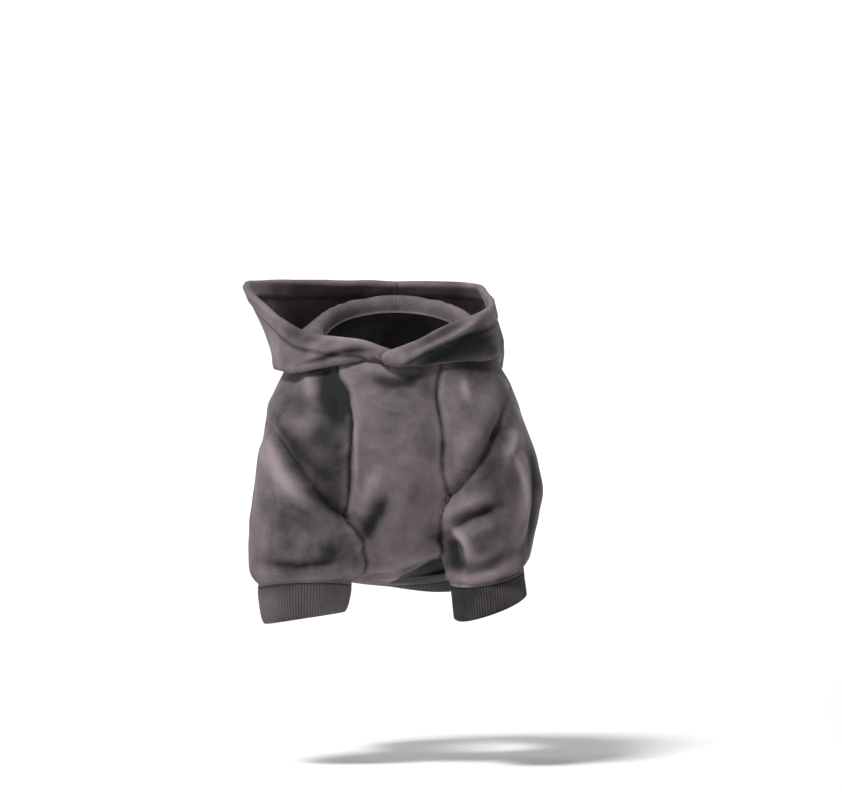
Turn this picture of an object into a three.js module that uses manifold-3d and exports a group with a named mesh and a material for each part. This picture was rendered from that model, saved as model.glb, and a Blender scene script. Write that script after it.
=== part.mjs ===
// A dog's hooded plush pullover in its worn form: a chest panel, a back panel, two raglan
// sleeves with rib cuffs, a rib waistband and a fallen hood in two halves that cross in front.
// Millimetres, +Z up. The dog faces -Y, so its left side is +X, at the right of a front view.
// The origin is inside the back panel over the withers, where the pullover hangs from the dog.
import * as THREE from "three";
import { mergeVertices } from "three/addons/utils/BufferGeometryUtils.js";
import Module from "manifold-3d";

const wasm = await Module();
wasm.setup();

// Cloth
const plushWall = 2.2;
const ribWall = 2.6;
const hemWall = 3.8; // the turned hem round the hood's opening
const seamGap = 0.3;

// Torso: the two panels and the waistband, measured on the inside
const torsoLength = 232; // from the breastbone back to the end of the waistband
const torsoHeight = 172; // from the neckline at the nape down to the waistband
const chestWidth = 114;
const waistbandWidth = 24;
const foldDepth = 6;
const foldWidth = 11;

// Sleeves and cuffs, measured on the inside
const sleeveReach = 88; // from the middle plane out to the side of a sleeve
const sleeveWidth = 66;
const sleeveDepth = 86;
const cuffLength = 20;

// Hood
const hoodHang = 44; // how far the fallen hood hangs below the nape seam
const hoodSpread = 62; // how far it stands out from the nape seam
const hoodRise = 30; // how far its opening rises above the neckline
const hoodHem = 12;
const seamRise = 3; // how far the hood stands up and out of its seam before it falls

// Faces round and along each piece
const frontCrowding = 0.35;
const overrun = 0.5; // in rows of a table
const torsoSides = 36;
const torsoSteps = 16;
const sleeveSides = 27;
const sleeveSteps = 21;
const cuffSides = 28;
const cuffSteps = 3;
const waistbandSides = 36;
const waistbandSteps = 3;
const hoodColumns = 19;
const hoodSteps = 14;

// The torso's sections, from the neckline to the hem of the waistband. Each lies in a plane
// through a point on the back and a point on the chest. Y is a share of torsoLength, Z of
// torsoHeight and wide of chestWidth. keel narrows the chest side, as a dog's chest is narrow.
const torsoSections = [
  { backY: -0.065, backZ: 0.049, chestY: -0.397, chestZ: -0.157, wide: 0.77, keel: 0.0 },
  { backY: 0.0, backZ: 0.0, chestY: -0.44, chestZ: -0.256, wide: 0.88, keel: 0.05 },
  { backY: 0.095, backZ: -0.099, chestY: -0.478, chestZ: -0.43, wide: 0.965, keel: 0.12 },
  { backY: 0.181, backZ: -0.233, chestY: -0.47, chestZ: -0.616, wide: 1.0, keel: 0.15 },
  { backY: 0.259, backZ: -0.378, chestY: -0.405, chestZ: -0.779, wide: 1.0, keel: 0.12 },
  { backY: 0.336, backZ: -0.523, chestY: -0.31, chestZ: -0.869, wide: 0.975, keel: 0.08 },
  { backY: 0.401, backZ: -0.654, chestY: -0.203, chestZ: -0.904, wide: 0.95, keel: 0.04 },
  { backY: 0.448, backZ: -0.773, chestY: -0.108, chestZ: -0.927, wide: 0.912, keel: 0.0 },
];

// The share of each section's depth, from the back, at which the side seams run.
const sideSeamShare = 0.62;

// The waistband's and the cuffs' rows: how far each lies along the band and how far it is drawn
// in, both as shares of the band's length.
const waistbandRows = [
  { along: 0.0, draw: 0.0 },
  { along: 0.3, draw: 0.02 },
  { along: 0.75, draw: 0.08 },
  { along: 1.0, draw: 0.1 },
];
const cuffRows = [
  { along: 0.0, draw: 0.02 },
  { along: 0.3, draw: 0.02 },
  { along: 0.75, draw: 0.06 },
  { along: 1.0, draw: 0.14 },
];

// The sleeves' sections, from the neckline down to the cuff seam. out is a share of
// sleeveReach, Y of torsoLength, Z of torsoHeight, wide of sleeveWidth and deep of
// sleeveDepth. pitch lowers the front of a section and roll its outer side, in degrees.
const leftSleeveSections = [
  { out: 0.216, y: -0.231, z: -0.054, wide: 0.833, deep: 0.814, pitch: 24.7, roll: 0 },
  { out: 0.352, y: -0.241, z: -0.174, wide: 0.91, deep: 1.0, pitch: 20, roll: 0 },
  { out: 0.455, y: -0.259, z: -0.291, wide: 0.94, deep: 1.023, pitch: 15, roll: 0 },
  { out: 0.534, y: -0.272, z: -0.442, wide: 1.0, deep: 1.0, pitch: 10, roll: 0 },
  { out: 0.614, y: -0.284, z: -0.581, wide: 0.97, deep: 0.953, pitch: 6, roll: -3 },
  { out: 0.631, y: -0.293, z: -0.703, wide: 0.88, deep: 0.9, pitch: 3, roll: -7 },
  { out: 0.64, y: -0.297, z: -0.802, wide: 0.75, deep: 0.82, pitch: 3, roll: -10 },
  { out: 0.63, y: -0.3, z: -0.855, wide: 0.71, deep: 0.76, pitch: 8, roll: -11 },
  { out: 0.622, y: -0.3, z: -0.88, wide: 0.63, deep: 0.67, pitch: 10, roll: -11 },
  { out: 0.625, y: -0.305, z: -0.897, wide: 0.62, deep: 0.66, pitch: 10, roll: -11 },
];
const rightSleeveSections = [
  { out: 0.25, y: -0.231, z: -0.054, wide: 0.742, deep: 0.68, pitch: 24.7, roll: 0 },
  { out: 0.352, y: -0.241, z: -0.174, wide: 0.91, deep: 1.0, pitch: 20, roll: 0 },
  { out: 0.455, y: -0.259, z: -0.302, wide: 1.01, deep: 1.023, pitch: 15, roll: 0 },
  { out: 0.518, y: -0.272, z: -0.442, wide: 0.975, deep: 1.0, pitch: 10, roll: 0 },
  { out: 0.572, y: -0.284, z: -0.581, wide: 0.985, deep: 0.953, pitch: 6, roll: 2 },
  { out: 0.615, y: -0.293, z: -0.709, wide: 0.955, deep: 0.907, pitch: 3, roll: 4 },
  { out: 0.602, y: -0.297, z: -0.826, wide: 1.0, deep: 0.86, pitch: -2, roll: 4 },
  { out: 0.608, y: -0.302, z: -0.885, wide: 0.95, deep: 0.802, pitch: -6, roll: 2 },
  { out: 0.612, y: -0.302, z: -0.915, wide: 0.8, deep: 0.685, pitch: -8, roll: 2 },
  { out: 0.613, y: -0.3, z: -0.934, wide: 0.79, deep: 0.674, pitch: -8, roll: 2 },
];

// Folds, each along a straight line seen from the front. out is a share of sleeveReach,
// measured outwards from the middle plane (to the dog's left on the chest), z a share of
// torsoHeight, depth of foldDepth (a ridge is above 0, a valley below) and width of foldWidth.
const leftSleeveFolds = [
  { out0: 0.79, z0: -0.27, out1: 0.58, z1: -0.51, depth: -0.85, width: 0.8 },
  { out0: 0.58, z0: -0.51, out1: 0.34, z1: -0.63, depth: -0.85, width: 0.8 },
  { out0: 0.84, z0: -0.33, out1: 0.85, z1: -0.7, depth: 0.5, width: 0.6 },
  { out0: 0.31, z0: -0.7, out1: 0.52, z1: -0.64, depth: 0.45, width: 0.6 },
  { out0: 0.36, z0: -0.74, out1: 0.56, z1: -0.7, depth: -0.8, width: 0.7 },
  { out0: 0.42, z0: -0.75, out1: 0.49, z1: -0.83, depth: 0.5, width: 0.5 },
];
const rightSleeveFolds = [
  { out0: 0.9, z0: -0.37, out1: 0.72, z1: -0.5, depth: -0.85, width: 0.9 },
  { out0: 0.72, z0: -0.5, out1: 0.33, z1: -0.68, depth: -0.85, width: 0.9 },
  { out0: 0.9, z0: -0.47, out1: 0.66, z1: -0.62, depth: 0.5, width: 0.8 },
  { out0: 0.58, z0: -0.22, out1: 0.51, z1: -0.37, depth: 0.35, width: 0.8 },
  { out0: 0.72, z0: -0.87, out1: 0.36, z1: -0.85, depth: -0.5, width: 0.6 },
];
const chestFolds = [
  { out0: -0.02, z0: -0.2, out1: 0.28, z1: -0.21, depth: -0.45, width: 0.7 },
  { out0: -0.17, z0: -0.8, out1: -0.04, z1: -0.55, depth: -0.5, width: 1.0 },
  { out0: 0.36, z0: -0.79, out1: 0.0, z1: -0.92, depth: 0.35, width: 0.6 },
  { out0: 0.47, z0: -0.86, out1: 0.12, z1: -0.97, depth: -1.5, width: 0.8 },
];

// The fallen hood's profiles round the neckline, from the front (0 degrees) to the nape (180).
// A profile leaves the neckline seam, turns at its lowest point, swells and ends at the rim.
// Each point's out is a share of hoodSpread, measured outwards from the seam. down is a share
// of hoodHang and up of hoodRise. seat moves the foot outwards by layers of cloth, so that
// the dog's left half crosses over the right one.
const leftHoodProfiles = [
  { angle: -14, seat: 1.4, hugOut: 0.05, hugUp: 0.06, fallOut: 0.05, fallDown: -0.02, bellyOut: 0.06, bellyUp: 0.1, rimOut: 0.05, rimUp: 0.16 },
  { angle: -6, seat: 1.4, hugOut: 0.06, hugUp: 0.06, fallOut: 0.08, fallDown: -0.01, bellyOut: 0.1, bellyUp: 0.14, rimOut: 0.07, rimUp: 0.33 },
  { angle: 12, seat: 1.4, hugOut: 0.08, hugUp: 0.05, fallOut: 0.11, fallDown: 0.0, bellyOut: 0.14, bellyUp: 0.17, rimOut: 0.09, rimUp: 0.56 },
  { angle: 35, seat: 0.7, hugOut: 0.12, hugUp: 0.07, fallOut: 0.16, fallDown: 0.03, bellyOut: 0.19, bellyUp: 0.12, rimOut: 0.12, rimUp: 0.72 },
  { angle: 62, seat: 0.3, hugOut: 0.17, hugUp: 0.0, fallOut: 0.23, fallDown: 0.16, bellyOut: 0.27, bellyUp: 0.02, rimOut: 0.17, rimUp: 0.7 },
  { angle: 90, seat: 0, hugOut: 0.18, hugUp: -0.06, fallOut: 0.27, fallDown: 0.3, bellyOut: 0.31, bellyUp: -0.12, rimOut: 0.2, rimUp: 0.62 },
  { angle: 120, seat: 0, hugOut: 0.24, hugUp: -0.15, fallOut: 0.39, fallDown: 0.58, bellyOut: 0.44, bellyUp: -0.4, rimOut: 0.27, rimUp: 0.58 },
  { angle: 150, seat: 0, hugOut: 0.5, hugUp: -0.3, fallOut: 0.93, fallDown: 1.06, bellyOut: 1.02, bellyUp: -0.65, rimOut: 0.58, rimUp: 0.55 },
  { angle: 180, seat: 0, hugOut: 0.57, hugUp: -0.34, fallOut: 1.15, fallDown: 1.2, bellyOut: 1.25, bellyUp: -0.75, rimOut: 0.7, rimUp: 0.5 },
];
const rightHoodProfiles = [
  { angle: -8, seat: 0, hugOut: 0.02, hugUp: 0.07, fallOut: 0.02, fallDown: -0.04, bellyOut: 0.02, bellyUp: 0.12, rimOut: 0.015, rimUp: 0.22 },
  { angle: 6, seat: 0, hugOut: 0.03, hugUp: 0.08, fallOut: 0.03, fallDown: -0.06, bellyOut: 0.03, bellyUp: 0.2, rimOut: 0.02, rimUp: 0.42 },
  { angle: 22, seat: 0, hugOut: 0.05, hugUp: 0.07, fallOut: 0.06, fallDown: -0.02, bellyOut: 0.07, bellyUp: 0.18, rimOut: 0.04, rimUp: 0.56 },
  { angle: 42, seat: 0.3, hugOut: 0.12, hugUp: 0.02, fallOut: 0.19, fallDown: 0.12, bellyOut: 0.23, bellyUp: 0.0, rimOut: 0.15, rimUp: 0.56 },
  { angle: 64, seat: 0.3, hugOut: 0.19, hugUp: 0.0, fallOut: 0.33, fallDown: 0.34, bellyOut: 0.39, bellyUp: -0.13, rimOut: 0.36, rimUp: 0.72 },
  { angle: 90, seat: 0, hugOut: 0.22, hugUp: -0.06, fallOut: 0.42, fallDown: 0.48, bellyOut: 0.455, bellyUp: -0.22, rimOut: 0.72, rimUp: 0.95 },
  { angle: 120, seat: 0, hugOut: 0.28, hugUp: -0.16, fallOut: 0.5, fallDown: 0.64, bellyOut: 0.58, bellyUp: -0.45, rimOut: 0.72, rimUp: 0.8 },
  { angle: 150, seat: 0, hugOut: 0.5, hugUp: -0.3, fallOut: 0.94, fallDown: 1.06, bellyOut: 1.04, bellyUp: -0.65, rimOut: 0.72, rimUp: 0.6 },
  { angle: 180, seat: 0, hugOut: 0.57, hugUp: -0.34, fallOut: 1.15, fallDown: 1.2, bellyOut: 1.25, bellyUp: -0.75, rimOut: 0.7, rimUp: 0.5 },
];

// Small tools

// A row between the rows of a table, by a smooth curve through each column. place counts rows,
// and a place outside the table runs on straight.
function rowAt(rows, place) {
  const last = rows.length - 1;
  const start = Math.min(Math.max(Math.floor(place), 0), last - 1);
  const share = place - start;
  const made = {};
  for (const column of Object.keys(rows[0])) {
    const from = rows[start][column];
    const to = rows[start + 1][column];
    const before = start > 0 ? rows[start - 1][column] : 2 * from - to;
    const after = start + 2 <= last ? rows[start + 2][column] : 2 * to - from;
    const inside = THREE.MathUtils.clamp(share, 0, 1);
    const turnIn = (to - before) / 2;
    const turnOut = (after - from) / 2;
    const cube = inside ** 3;
    const square = inside ** 2;
    made[column] =
      from * (2 * cube - 3 * square + 1) +
      to * (3 * square - 2 * cube) +
      turnIn * (cube - 2 * square + inside) +
      turnOut * (cube - square) +
      (share - inside) * (share < 0 ? turnIn : turnOut);
  }
  return made;
}

// Evenly spaced places from one row to another.
function places(from, to, steps) {
  return Array.from({ length: steps + 1 }, (_, i) => from + ((to - from) * i) / steps);
}

// The places of a table's rows, run on past the neckline for a cut along its plane.
function runPlaces(rows, steps) {
  return [-overrun, ...places(0, rows.length - 1, steps)];
}

function solidOf(geometry) {
  const merged = mergeVertices(geometry.clone().deleteAttribute("normal").deleteAttribute("uv"), 1e-4);
  return new wasm.Manifold(
    new wasm.Mesh({
      numProp: 3,
      vertProperties: merged.attributes.position.array,
      triVerts: new Uint32Array(merged.index.array),
    }),
  );
}

function solidFrom(points, triangles) {
  const geometry = new THREE.BufferGeometry().setFromPoints(points);
  geometry.setIndex(triangles);
  return solidOf(geometry);
}

// A closed solid through rings that run counterclockwise seen from above, from the top down.
// The faces' diagonals fall towards the dog's left, or towards its right where mirrored.
function loft(rings, mirrored = false) {
  const sides = rings[0].length;
  const points = rings.flat();
  const triangles = [];
  rings.slice(1).forEach((ring, i) => {
    for (let j = 0; j < sides; j++) {
      const next = (j + 1) % sides;
      const [a, b] = [i * sides + j, i * sides + next];
      const [c, d] = [a + sides, b + sides];
      triangles.push(...(mirrored ? [a, c, b, b, c, d] : [a, c, d, a, d, b]));
    }
  });
  const middle = (ring) =>
    ring.reduce((sum, point) => sum.add(point), new THREE.Vector3()).divideScalar(sides);
  const top = points.push(middle(rings[0])) - 1;
  const bottom = points.push(middle(rings[rings.length - 1])) - 1;
  const lastRing = (rings.length - 1) * sides;
  for (let j = 0; j < sides; j++) {
    const next = (j + 1) % sides;
    triangles.push(top, j, next, bottom, lastRing + next, lastRing + j);
  }
  return solidFrom(points, triangles);
}

// A tube between outer and inner rings, its faces' diagonals as in a loft.
function tube(outer, inner, mirrored = false) {
  const rings = [...outer, ...inner.reverse()];
  const sides = outer[0].length;
  const triangles = [];
  rings.forEach((ring, i) => {
    const below = (i + 1) % rings.length;
    for (let j = 0; j < sides; j++) {
      const next = (j + 1) % sides;
      const [a, b] = [i * sides + j, i * sides + next];
      const [c, d] = [below * sides + j, below * sides + next];
      triangles.push(...(mirrored ? [a, c, b, b, c, d] : [a, c, d, a, d, b]));
    }
  });
  return solidFrom(rings.flat(), triangles);
}

// How far a piece's folds push its surface out at a point seen from the front. facing is 1 in
// front and -1 behind, and only the front half is folded.
function foldPush(folds, out, z, facing) {
  const weight = THREE.MathUtils.smoothstep(facing, 0, 0.4);
  let push = 0;
  for (const fold of folds) {
    const start = new THREE.Vector3(fold.out0 * sleeveReach, 0, fold.z0 * torsoHeight);
    const end = new THREE.Vector3(fold.out1 * sleeveReach, 0, fold.z1 * torsoHeight);
    const here = new THREE.Vector3(out, 0, z);
    const nearest = new THREE.Line3(start, end).closestPointToPoint(here, true, new THREE.Vector3());
    const distance = nearest.distanceTo(here) / (fold.width * foldWidth);
    push += weight * fold.depth * foldDepth * Math.exp(-(distance ** 2));
  }
  return push;
}

// Surfaces. Each gives a point for a place along its table and an angle round it, from the
// front (0) towards the dog's left.

function normalAt(surface, place, angle) {
  const step = 0.01;
  const along = surface(place + step, angle).sub(surface(place - step, angle));
  const around = surface(place, angle + step).sub(surface(place, angle - step));
  return along.cross(around).normalize();
}

// A surface moved outwards by a distance that may differ from point to point.
function offset(surface, distanceAt) {
  return (place, angle) => {
    const point = surface(place, angle);
    const distance = distanceAt(point, place, angle);
    return point.addScaledVector(normalAt(surface, place, angle), distance);
  };
}

// Rings of points on a surface, grown by some millimetres. A ring's points are closer together
// in front, where the folds are.
function ringsOf(surface, rowPlaces, sides, grow) {
  const grown = grow ? offset(surface, () => grow) : surface;
  return rowPlaces.map((place) =>
    Array.from({ length: sides }, (_, j) => {
      const turn = (2 * Math.PI * j) / sides;
      return grown(place, turn - frontCrowding * Math.sin(turn));
    }),
  );
}

// The torso

const lastTorso = torsoSections.length - 1;

// Where a torso section lies: its middle, its direction from back to chest and its half sizes.
function torsoPlane(place) {
  const row = rowAt(torsoSections, place);
  const back = new THREE.Vector3(0, row.backY * torsoLength, row.backZ * torsoHeight);
  const chest = new THREE.Vector3(0, row.chestY * torsoLength, row.chestZ * torsoHeight);
  return {
    back,
    chest,
    middle: back.clone().lerp(chest, 0.5),
    forward: chest.clone().sub(back).normalize(),
    halfDepth: back.distanceTo(chest) / 2,
    halfWidth: (row.wide * chestWidth) / 2,
    keel: row.keel,
  };
}

function plainTorso(place, angle) {
  const plane = torsoPlane(place);
  const facing = Math.cos(angle);
  return plane.middle
    .clone()
    .addScaledVector(plane.forward, facing * plane.halfDepth)
    .setX(Math.sin(angle) * plane.halfWidth * (1 - plane.keel * facing));
}

// The torso's inside: its sections, folded at the chest. The folds settle before the waistband.
const torso = offset(plainTorso, (point, place, angle) => {
  const settled = THREE.MathUtils.smoothstep(lastTorso - place, 0, 1);
  return settled * foldPush(chestFolds, point.x, point.z, Math.cos(angle));
});

// What lies behind the side seams, moved away from the back by a gap.
function backRegion(gap) {
  const reach = 3 * chestWidth;
  return loft(
    places(-1, lastTorso + 1, torsoSteps).map((place) => {
      const plane = torsoPlane(place);
      const seam = plane.back.clone().lerp(plane.chest, sideSeamShare);
      seam.addScaledVector(plane.forward, gap);
      const far = plane.back.clone().addScaledVector(plane.forward, -reach);
      const corner = (x, point) => point.clone().setX(x);
      return [corner(-reach, seam), corner(reach, seam), corner(reach, far), corner(-reach, far)];
    }),
  );
}

// What lies above the neckline's plane, raised by a gap.
function aboveNeckline(gap) {
  const reach = 4 * chestWidth;
  const { middle, forward } = torsoPlane(0);
  const geometry = new THREE.BoxGeometry(reach, reach, reach).translate(0, 0, reach / 2 + gap);
  geometry.rotateX(Math.atan2(-forward.z, -forward.y));
  return solidOf(geometry.translate(middle.x, middle.y, middle.z));
}

// The sleeves and cuffs

function plainSleeve(side) {
  return (place, angle) => {
    const row = rowAt(side.sections, place);
    const pitch = THREE.MathUtils.degToRad(row.pitch);
    const roll = THREE.MathUtils.degToRad(row.roll);
    const forward = new THREE.Vector3(0, -Math.cos(pitch), -Math.sin(pitch));
    const across = new THREE.Vector3(Math.cos(roll), 0, -side.sign * Math.sin(roll));
    return new THREE.Vector3(
      side.sign * row.out * sleeveReach,
      row.y * torsoLength,
      row.z * torsoHeight,
    )
      .addScaledVector(across, (Math.sin(angle) * row.wide * sleeveWidth) / 2)
      .addScaledVector(forward, (Math.cos(angle) * row.deep * sleeveDepth) / 2);
  };
}

// A sleeve's inside: its sections, folded in front.
function sleeveSurface(side) {
  return offset(plainSleeve(side), (point, place, angle) =>
    foldPush(side.folds, side.sign * point.x, point.z, Math.cos(angle)),
  );
}

// A knitted band that carries on from the end of a tube of cloth, each row along the end's own
// direction and drawn in from it. lengthAt gives the share of its length at an angle.
function band(surface, end, rows, length, sides, steps, lengthAt) {
  const nearEnd = 0.02;
  const knitted = (place, angle) => {
    const row = rowAt(rows, place);
    const onward = surface(end, angle).sub(surface(end - nearEnd, angle)).normalize();
    return surface(end, angle)
      .addScaledVector(onward, seamGap + row.along * length * lengthAt(angle))
      .addScaledVector(normalAt(surface, end, angle), -row.draw * length);
  };
  const rowPlaces = places(0, rows.length - 1, steps);
  return tube(ringsOf(knitted, rowPlaces, sides, ribWall), ringsOf(knitted, rowPlaces, sides, 0));
}

// The hood

// One hood profile's points, from the neckline seam to the rim, at an angle round the neck.
function hoodProfile(sign, row) {
  const neck = torsoPlane(0);
  const angle = sign * THREE.MathUtils.degToRad(row.angle);
  const seat = plushWall / 2 + row.seat * (plushWall + seamGap);
  const foot = torso(0, angle);
  foot.addScaledVector(foot.clone().sub(neck.middle).normalize(), seat);
  const up = new THREE.Vector3(1, 0, 0).cross(neck.forward).negate();
  foot.addScaledVector(up, seamGap);
  const outwards = foot.clone().sub(neck.middle).setZ(0).normalize();
  const at = (out, rise) =>
    foot.clone().addScaledVector(outwards, out * hoodSpread).add(new THREE.Vector3(0, 0, rise));
  const heightOf = (share) => (share < 0 ? share * hoodHang : share * hoodRise);
  const curve = new THREE.CatmullRomCurve3(
    [
      foot,
      foot.clone().addScaledVector(up, seamRise).addScaledVector(outwards, seamRise),
      at(row.hugOut, heightOf(row.hugUp)),
      at(row.fallOut, -row.fallDown * hoodHang),
      at(row.bellyOut, heightOf(row.bellyUp)),
      at(row.rimOut, row.rimUp * hoodRise),
    ],
    false,
    "centripetal",
  );
  return curve.getSpacedPoints(hoodSteps);
}

// A wall between two grids of points, closed round its edges.
function wallSolid(outer, inner) {
  const rows = outer.length;
  const columns = outer[0].length;
  const points = [...outer.flat(), ...inner.flat()];
  const inside = rows * columns;
  const at = (i, k) => i * columns + k;
  const triangles = [];
  const quad = (a, b, c, d) => triangles.push(a, b, c, a, c, d);
  for (let i = 0; i + 1 < rows; i++) {
    for (let k = 0; k + 1 < columns; k++) {
      const [a, b, c, d] = [at(i, k), at(i + 1, k), at(i + 1, k + 1), at(i, k + 1)];
      quad(a, b, c, d);
      quad(inside + a, inside + d, inside + c, inside + b);
    }
    quad(at(i, 0), inside + at(i, 0), inside + at(i + 1, 0), at(i + 1, 0));
    const rim = columns - 1;
    quad(at(i + 1, rim), inside + at(i + 1, rim), inside + at(i, rim), at(i, rim));
  }
  for (let k = 0; k + 1 < columns; k++) {
    quad(at(0, k + 1), inside + at(0, k + 1), inside + at(0, k), at(0, k));
    const end = rows - 1;
    quad(at(end, k), inside + at(end, k), inside + at(end, k + 1), at(end, k + 1));
  }
  return solidFrom(points, triangles);
}

// Half the hood: its profiles round the neck, thickened to the cloth's wall and the hem's, and
// grown on both faces by some millimetres.
function hoodHalf(sign, profiles, grow) {
  const grid = places(0, profiles.length - 1, hoodColumns - 1).map((place) =>
    hoodProfile(sign, rowAt(profiles, place)),
  );
  const atSeam = grid[grid.length - 1];
  atSeam.forEach((point) => point.setX((sign * seamGap) / 2));
  const normalAt = (i, k) => {
    const row = grid[i];
    const along = grid[Math.min(i + 1, grid.length - 1)][k].clone().sub(grid[Math.max(i - 1, 0)][k]);
    const upwards = row[Math.min(k + 1, row.length - 1)].clone().sub(row[Math.max(k - 1, 0)]);
    return along.cross(upwards).normalize();
  };
  const layer = (shift) =>
    grid.map((row, i) =>
      row.map((point, k) => {
        const normal = normalAt(i, k);
        if (i === grid.length - 1) {
          normal.setX(0).normalize();
        }
        const toRim = point.distanceTo(row[row.length - 1]);
        const wall = k > hoodSteps / 2 && toRim < hoodHem ? hemWall : plushWall;
        return point.clone().addScaledVector(normal, shift * (wall / 2 + grow));
      }),
    );
  return wallSolid(layer(1), layer(-1));
}

// The pieces

// cuffRun is a cuff's share of cuffLength. cuffSlant makes it longer at its outer side, and
// cuffTip makes it longer in front.
const leftSide = {
  sign: 1,
  sections: leftSleeveSections,
  folds: leftSleeveFolds,
  cuffRun: 1.0,
  cuffSlant: -0.08,
  cuffTip: 0.04,
};
const rightSide = {
  sign: -1,
  sections: rightSleeveSections,
  folds: rightSleeveFolds,
  cuffRun: 0.92,
  cuffSlant: 0.15,
  cuffTip: 0.25,
};

const torsoPlaces = runPlaces(torsoSections, torsoSteps);
const torsoRings = (grow) => ringsOf(torso, torsoPlaces, torsoSides, grow);
const torsoInside = loft(ringsOf(torso, [...torsoPlaces, lastTorso + overrun], torsoSides, 0));

function cuffOf(side, surface) {
  const { sign, cuffRun, cuffSlant, cuffTip } = side;
  const lengthAt = (angle) =>
    cuffRun * (1 + cuffSlant * sign * Math.sin(angle) + cuffTip * Math.cos(angle));
  const end = side.sections.length - 1;
  return band(surface, end, cuffRows, cuffLength, cuffSides, cuffSteps, lengthAt);
}

const sleeves = [leftSide, rightSide].map((side) => {
  const surface = sleeveSurface(side);
  const rowPlaces = runPlaces(side.sections, sleeveSteps);
  const rings = (grow) => ringsOf(surface, rowPlaces, sleeveSides, grow);
  const mirrored = side.sign > 0;
  return {
    clear: loft(rings(plushWall + seamGap), mirrored),
    piece: tube(rings(plushWall), rings(0), mirrored)
      .subtract(torsoInside)
      .subtract(aboveNeckline(0)),
    cuff: cuffOf(side, surface),
  };
});

const torsoWall = sleeves.reduce(
  (wall, sleeve) => wall.subtract(sleeve.clear),
  tube(torsoRings(plushWall), torsoRings(0)).subtract(aboveNeckline(0)),
);
const waistband = band(
  torso,
  lastTorso,
  waistbandRows,
  waistbandWidth,
  waistbandSides,
  waistbandSteps,
  () => 1,
);
const bodyClear = sleeves
  .reduce((body, sleeve) => body.add(sleeve.clear), loft(torsoRings(plushWall + seamGap)))
  .subtract(aboveNeckline(seamGap / 2));

const hoodLeft = hoodHalf(1, leftHoodProfiles, 0)
  .subtract(bodyClear)
  .subtract(hoodHalf(-1, rightHoodProfiles, seamGap));

const plush = new THREE.MeshStandardMaterial({ color: 0x5f575d, roughness: 0.9, metalness: 0 });
const rib = new THREE.MeshStandardMaterial({ color: 0x4d484d, roughness: 0.95, metalness: 0 });

const pullover = new THREE.Group();

function addPiece(name, solid, material) {
  const { numProp, vertProperties, triVerts } = solid.getMesh();
  const geometry = new THREE.BufferGeometry();
  geometry.setAttribute("position", new THREE.BufferAttribute(vertProperties, numProp));
  geometry.setIndex(new THREE.BufferAttribute(triVerts, 1));
  const mesh = new THREE.Mesh(geometry, material);
  mesh.name = name;
  pullover.add(mesh);
}

addPiece("chest_panel", torsoWall.subtract(backRegion(seamGap)), plush);
addPiece("back_panel", torsoWall.intersect(backRegion(0)), plush);
addPiece("sleeve_left", sleeves[0].piece, plush);
addPiece("sleeve_right", sleeves[1].piece, plush);
addPiece("cuff_left", sleeves[0].cuff, rib);
addPiece("cuff_right", sleeves[1].cuff, rib);
addPiece("waistband", waistband, rib);
addPiece("hood_left", hoodLeft, plush);
addPiece("hood_right", hoodHalf(-1, rightHoodProfiles, 0).subtract(bodyClear), plush);

export default pullover;
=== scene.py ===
"""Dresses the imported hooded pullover: plush cloth with its folds, sewn seams and rib knit bands.

The cloth follows the part's solids at a finer step and with more folds. The hood's front ends
and the bands are shaped a little finer than the solids.
Tables and functions are in millimetres, and a mesh is scaled to metres when it is made.
The pullover's front is at -Y, so its left pieces are at +X, at the right of a front view.
"""

import math

import bmesh
import bpy
import numpy as np
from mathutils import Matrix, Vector, kdtree, noise
from mathutils.bvhtree import BVHTree


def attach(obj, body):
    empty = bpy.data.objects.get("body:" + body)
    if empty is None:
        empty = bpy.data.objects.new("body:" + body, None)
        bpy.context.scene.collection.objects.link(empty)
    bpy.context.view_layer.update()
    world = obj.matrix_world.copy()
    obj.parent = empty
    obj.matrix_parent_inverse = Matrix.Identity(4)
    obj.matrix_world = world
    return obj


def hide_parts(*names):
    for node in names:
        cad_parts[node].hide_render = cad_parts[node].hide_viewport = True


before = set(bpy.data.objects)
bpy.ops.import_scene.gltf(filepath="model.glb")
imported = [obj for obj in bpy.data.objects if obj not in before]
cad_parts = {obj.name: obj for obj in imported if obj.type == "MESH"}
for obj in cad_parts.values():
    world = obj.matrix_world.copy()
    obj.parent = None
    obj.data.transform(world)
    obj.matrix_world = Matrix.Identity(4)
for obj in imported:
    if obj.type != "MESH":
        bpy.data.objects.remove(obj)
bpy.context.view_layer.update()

METRES = 0.001

# Cloth
PLUSH_WALL = 2.2
RIB_WALL = 2.6
HEM_WALL = 3.8
# Painted shade on the inner walls of the sewn plush pieces
INSIDE_PAINTED_SHADE = -0.3
SEAM_GAP = 0.3
CLOTH_STEP = 1.25  # distance between the points of a plush mesh
OVERRUN = 0.6  # in rows of a table
ROUND_POINTS = 190  # round a sleeve
CHEST_POINTS = 140
BACK_POINTS = 170

# Torso, sleeves, bands and hood: the sizes of the part's solids
TORSO_LENGTH = 232
TORSO_HEIGHT = 172
CHEST_WIDTH = 114
WAISTBAND_WIDTH = 24
SLEEVE_REACH = 88
SLEEVE_WIDTH = 66
SLEEVE_DEPTH = 86
CUFF_LENGTH = 20
HOOD_HANG = 44
HOOD_SPREAD = 62
HOOD_RISE = 30
HOOD_HEM = 12
SEAM_RISE = 3
SIDE_SEAM_SHARE = 0.62

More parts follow.
